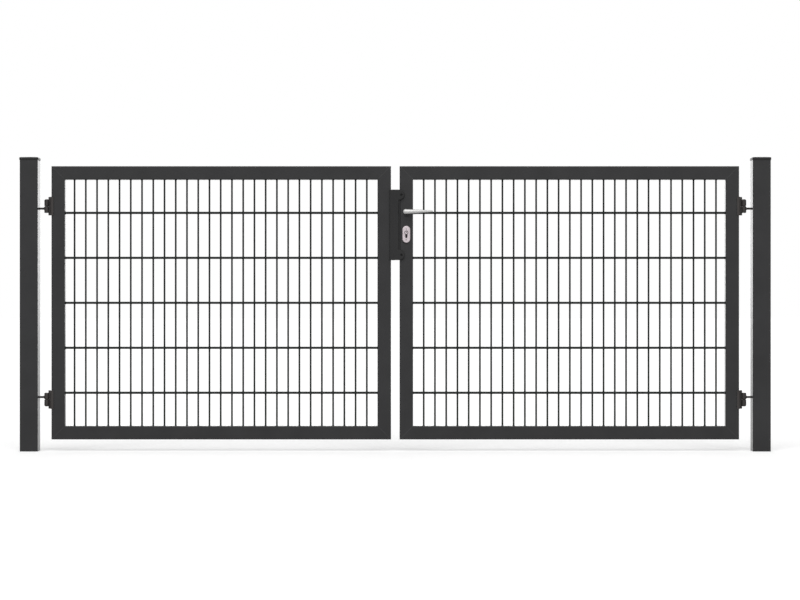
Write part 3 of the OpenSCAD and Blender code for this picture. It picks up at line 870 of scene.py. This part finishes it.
class GATE_OT_lock(bpy.types.Operator):
    """Finish the lock: forend, latch, cylinder with its plugs, rosettes and screws"""

    bl_idname = "gate.lock"
    bl_label = "Lock"

    def execute(self, context):
        sizes, finishes = context.scene.gate_sizes, context.scene.gate_finishes
        steel = lock_steel(finishes)
        cylinder_body_dark = satin_metal("dark_cylinder_metal", finishes.cylinder_body_dark, roughness=0.34,
                               stretch=(1200, 1200, 1200))
        recoat(steel, "front_rosette", "rear_rosette", "lever_spindle")
        for node, name, finish, width in (
            ("lock_forend", "lock_rounded_forend", steel, 0.5 * MM),
            ("latch_bolt", "latch_rounded_bolt", steel, sizes.edge_round),
            ("lock_cylinder", "lock_profile_cylinder", cylinder_body_dark, 0.35 * MM),
        ):
            dress(softened(own_copy(node, name), width), finish, "right_leaf", "lock_steel", node)
        self.plugs(steel)
        self.screws(steel)
        return {"FINISHED"}

    def plugs(self, steel):
        """The two turning plugs in the cylinder's faces, with their keyways."""
        low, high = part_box("lock_cylinder")
        head_r, slit, slit_h, slit_d = 8.5 * MM, 2 * MM, 8.4 * MM, 4 * MM
        centre_x, plug_z = (low.x + high.x) / 2, high.z - head_r
        plug = turned("plug", [(6.2 * MM, -0.6 * MM), (6.2 * MM, 0.3 * MM), (5.9 * MM, 0.55 * MM),
                               (5.4 * MM, 0.55 * MM), (5.1 * MM, 0.4 * MM)])
        cut(plug, start(bpy.ops.mesh.primitive_cube_add, "keyway", size=1, scale=(slit, slit_h, slit_d)))
        plugs = [copy_of(plug, "face", (centre_x, low.y, plug_z), (QUARTER, 0, 0)),
                 copy_of(plug, "face", (centre_x, high.y, plug_z), (-QUARTER, 0, 0))]
        bpy.data.objects.remove(plug)
        dress(smooth(join("lock_plugs", plugs)), steel, "right_leaf", "lock_steel")

    def screws(self, steel):
        """Socket screws in the rosettes and the forend."""
        socket_rim, socket_d, rosette_off, forend_in = 1.1 * MM, 0.7 * MM, 23.5 * MM, 12 * MM
        screw = turned("screw", [(3.1 * MM, -0.5 * MM), (3.1 * MM, 0.35 * MM), (2.7 * MM, 0.7 * MM)],
                       sides=24)
        with shaping(screw):
            pick(screw, "FACE", facing((0, 0, 1)))
            bpy.ops.mesh.inset(thickness=socket_rim)
            push((0, 0, -socket_d))
        heads = []
        for rosette, sign in (("front_rosette", -1), ("rear_rosette", 1)):
            low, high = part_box(rosette)
            middle, face_y = (low + high) / 2, low.y if sign < 0 else high.y
            for z in (middle.z - rosette_off, middle.z + rosette_off):
                heads.append(copy_of(screw, "head", (middle.x, face_y, z), (-sign * QUARTER, 0, 0)))
        low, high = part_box("lock_forend")
        for z in (low.z + forend_in, high.z - forend_in):
            heads.append(copy_of(screw, "head", (low.x, (low.y + high.y) / 2, z), (0, -QUARTER, 0)))
        bpy.data.objects.remove(screw)
        dress(smooth(join("lock_screws", heads)), steel, "right_leaf", "lock_steel")


class GATE_OT_levers(bpy.types.Operator):
    """Model the two cast levers"""

    bl_idname = "gate.levers"
    bl_label = "Levers"

    def execute(self, context):
        finishes = context.scene.gate_finishes
        aluminium = satin_metal("satin_aluminium", finishes.aluminium, roughness=0.47,
                                stretch=(60, 1500, 1500))
        front = self.lever()
        rear = outward(copy_of(front, "rear_cast_lever", scale=(1, -1, 1)))
        for piece, node in ((front, "front_lever"), (rear, "rear_lever")):
            dress(smooth(piece, angle=60), aluminium, "handle", "lever_aluminium", node)
        return {"FINISHED"}

    def stations(self):
        """Place along the grip, half height and half depth in millimetres, from heel to tip."""
        heel, root_r, root_t, tip, tip_r, tip_t, steps = -4, 11, 6.5, 113, 4, 4, 7
        arcs = [QUARTER * step / steps for step in range(1, steps + 1)]
        grip = [(heel - root_r * math.cos(arc), root_r * math.sin(arc), root_t * math.sin(arc))
                for arc in arcs]
        for share in (0.25, 0.5, 0.75):
            grip.append((heel + share * (tip - heel), root_r + share * (tip_r - root_r),
                         root_t + share * (tip_t - root_t)))
        grip += [(tip + tip_r * math.cos(arc), tip_r * math.sin(arc), tip_t * math.sin(arc))
                 for arc in reversed(arcs)]
        return grip

    def lever(self):
        """The front lever: a tapered grip and a round neck, fused with a soft fillet."""
        spindle = next(j for j in frame["joints"] if j["name"] == "lever_turn")["pos_m"]
        grip_y, rise, voxel = -62 * MM, 1.5 * MM, 0.8 * MM
        place = (spindle[0], grip_y, spindle[2])
        stations = self.stations()
        along, tall, thick = (value * MM for value in stations[0])
        grip = start(bpy.ops.mesh.primitive_circle_add, "grip", vertices=28, radius=1, fill_type="NGON",
                     location=(0, 0, along), scale=(tall, thick, 1))
        length, lift = stations[-1][0] * MM, 0.0
        with shaping(grip):
            bpy.ops.mesh.select_all(action="SELECT")
            for station in stations[1:]:
                far, high, deep = (value * MM for value in station)
                up = rise * max(0, far) / length
                push((lift - up, 0, far - along))
                bpy.ops.transform.resize(value=(high / tall, deep / thick, 1),
                                         center_override=(-up, 0, far))
                along, tall, thick, lift = far, high, deep, up
        placed(outward(grip), place, (0, QUARTER, 0))
        neck = turned("neck", [
            (8.9 * MM, 0), (8.7 * MM, 14 * MM), (8.9 * MM, 26 * MM), (9.4 * MM, 36 * MM),
            (9.5 * MM, 42 * MM), (9.5 * MM, 48 * MM),
        ])
        placed(neck, place, (-QUARTER, 0, 0))
        lever = join("front_cast_lever", [grip, neck])
        modify(lever, "REMESH", mode="VOXEL", voxel_size=voxel)
        modify(lever, "SMOOTH", factor=0.5, iterations=6)
        return lever


class GATE_PT_panel(bpy.types.Panel):
    """Sizes, finishes and steps of the gate"""

    bl_idname = "GATE_PT_panel"
    bl_label = "Mesh Driveway Gate"
    bl_space_type = "VIEW_3D"
    bl_region_type = "UI"
    bl_category = "Gate"

    def draw(self, context):
        scene = context.scene
        for title, group in (("Sizes", scene.gate_sizes), ("Finishes", scene.gate_finishes)):
            box = self.layout.box()
            box.label(text=title)
            for setting in group.__annotations__:
                box.prop(group, setting)
        for step in STEPS:
            self.layout.operator(step.bl_idname)


STEPS = (
    GATE_OT_stage, GATE_OT_frames, GATE_OT_post_caps, GATE_OT_mesh_panels,
    GATE_OT_hinges, GATE_OT_keep, GATE_OT_lock, GATE_OT_levers,
)
CLASSES = (GateSizes, GateFinishes, *STEPS, GATE_PT_panel)


def register():
    for cls in CLASSES:
        bpy.utils.register_class(cls)
    bpy.types.Scene.gate_sizes = PointerProperty(type=GateSizes)
    bpy.types.Scene.gate_finishes = PointerProperty(type=GateFinishes)


def unregister():
    del bpy.types.Scene.gate_finishes
    del bpy.types.Scene.gate_sizes
    for cls in reversed(CLASSES):
        bpy.utils.unregister_class(cls)


def main():
    register()
    bpy.ops.gate.stage()
    bpy.ops.gate.frames()
    bpy.ops.gate.post_caps()
    bpy.ops.gate.mesh_panels()
    bpy.ops.gate.hinges()
    bpy.ops.gate.keep()
    bpy.ops.gate.lock()
    bpy.ops.gate.levers()


if __name__ == "__main__":
    main()
